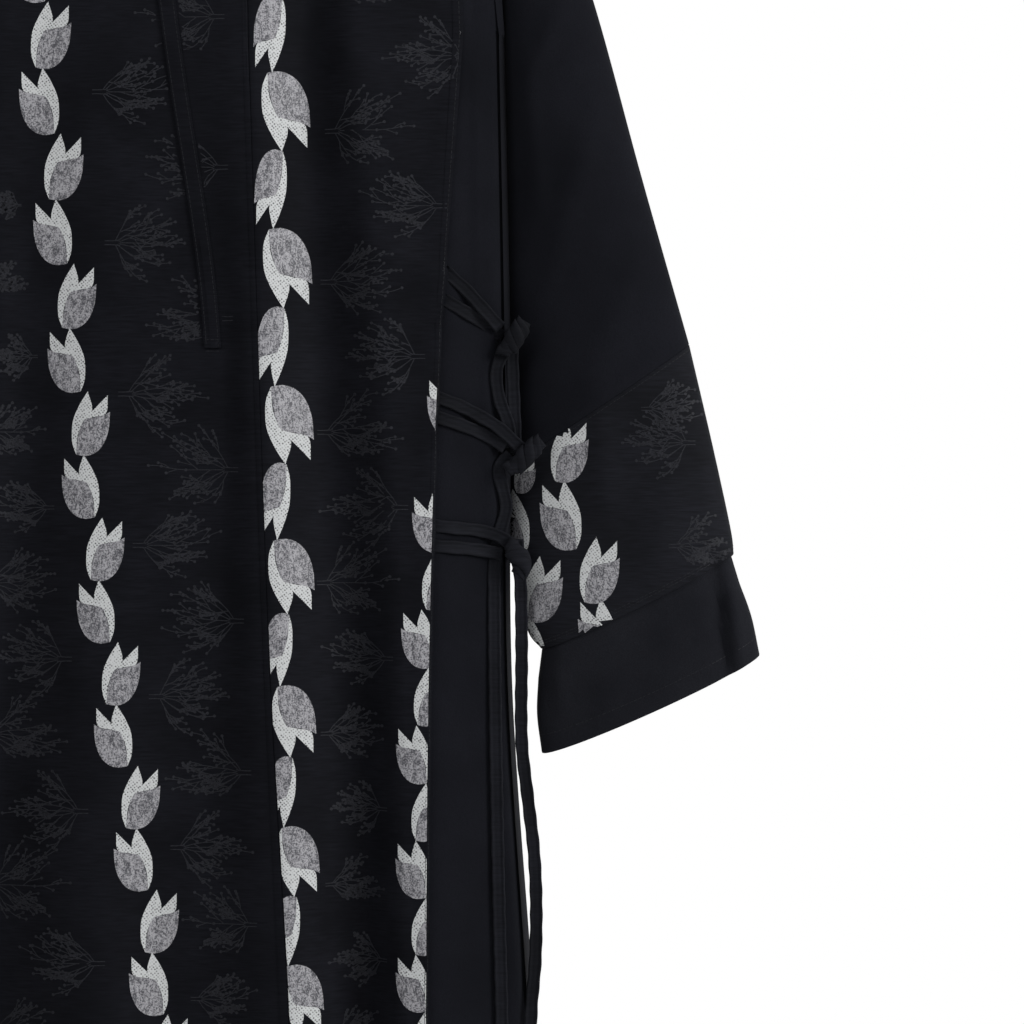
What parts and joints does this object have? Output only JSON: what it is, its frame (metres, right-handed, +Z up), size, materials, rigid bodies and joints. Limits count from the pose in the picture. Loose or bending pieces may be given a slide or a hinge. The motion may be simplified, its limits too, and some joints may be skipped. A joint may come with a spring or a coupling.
{
  "type": "muslim maxi dress on a hanger",
  "caption": "Long loose crepe dress with wide sleeves, a figured open-sided overlay tied at each side, and banded cuffs, hanging on a plain hanger.",
  "frame": {"origin": "where the inside of the hanger's hook bears on its rail", "axes": "+Z up, -Y out of the garment's front, +X to the right as the front is looked at"},
  "size_m": [0.7972, 0.1196, 1.4957],
  "materials": {
    "crepe": "matt black crepe with a faint blue cast",
    "figured_cloth": "black woven cloth figured with tone-on-tone sprigs and grey tulips",
    "beech": "plain lacquered beech",
    "steel_wire": "bright drawn steel wire"
  },
  "bodies": {
    "root": {"dress_back_lower": "crepe", "dress_back_middle": "crepe", "dress_back_upper": "crepe", "dress_front_lower": "crepe", "dress_front_middle": "crepe", "dress_front_upper": "crepe", "hanger_arms": "beech", "hanger_hook": "steel_wire", "overlay_back": "figured_cloth", "overlay_centre_front": "figured_cloth", "overlay_side_front_left": "figured_cloth", "overlay_side_front_right": "figured_cloth", "placket": "figured_cloth", "sleeve_band_left": "figured_cloth", "sleeve_band_right": "figured_cloth", "sleeve_left": "crepe", "sleeve_right": "crepe", "tie_low_back_strap_left": "figured_cloth", "tie_low_back_strap_right": "figured_cloth", "tie_low_knot_left": "figured_cloth", "tie_low_knot_right": "figured_cloth", "tie_low_strap_left": "figured_cloth", "tie_low_strap_right": "figured_cloth", "tie_low_tail_left": "figured_cloth", "tie_low_tail_right": "figured_cloth", "tie_low_under_strap_left": "figured_cloth", "tie_low_under_strap_right": "figured_cloth", "tie_middle_back_strap_left": "figured_cloth", "tie_middle_back_strap_right": "figured_cloth", "tie_middle_knot_left": "figured_cloth", "tie_middle_knot_right": "figured_cloth", "tie_middle_strap_left": "figured_cloth", "tie_middle_strap_right": "figured_cloth", "tie_middle_tail_left": "figured_cloth", "tie_middle_tail_right": "figured_cloth", "tie_middle_under_strap_left": "figured_cloth", "tie_middle_under_strap_right": "figured_cloth", "tie_top_back_strap_left": "figured_cloth", "tie_top_back_strap_right": "figured_cloth", "tie_top_knot_left": "figured_cloth", "tie_top_knot_right": "figured_cloth", "tie_top_strap_left": "figured_cloth", "tie_top_strap_right": "figured_cloth", "tie_top_tail_1_left": "figured_cloth", "tie_top_tail_1_right": "figured_cloth", "tie_top_tail_2_left": "figured_cloth", "tie_top_tail_2_right": "figured_cloth", "tie_top_under_strap_left": "figured_cloth", "tie_top_under_strap_right": "figured_cloth", "under_sleeve_left": "crepe", "under_sleeve_right": "crepe"}
  },
  "joints": []
}
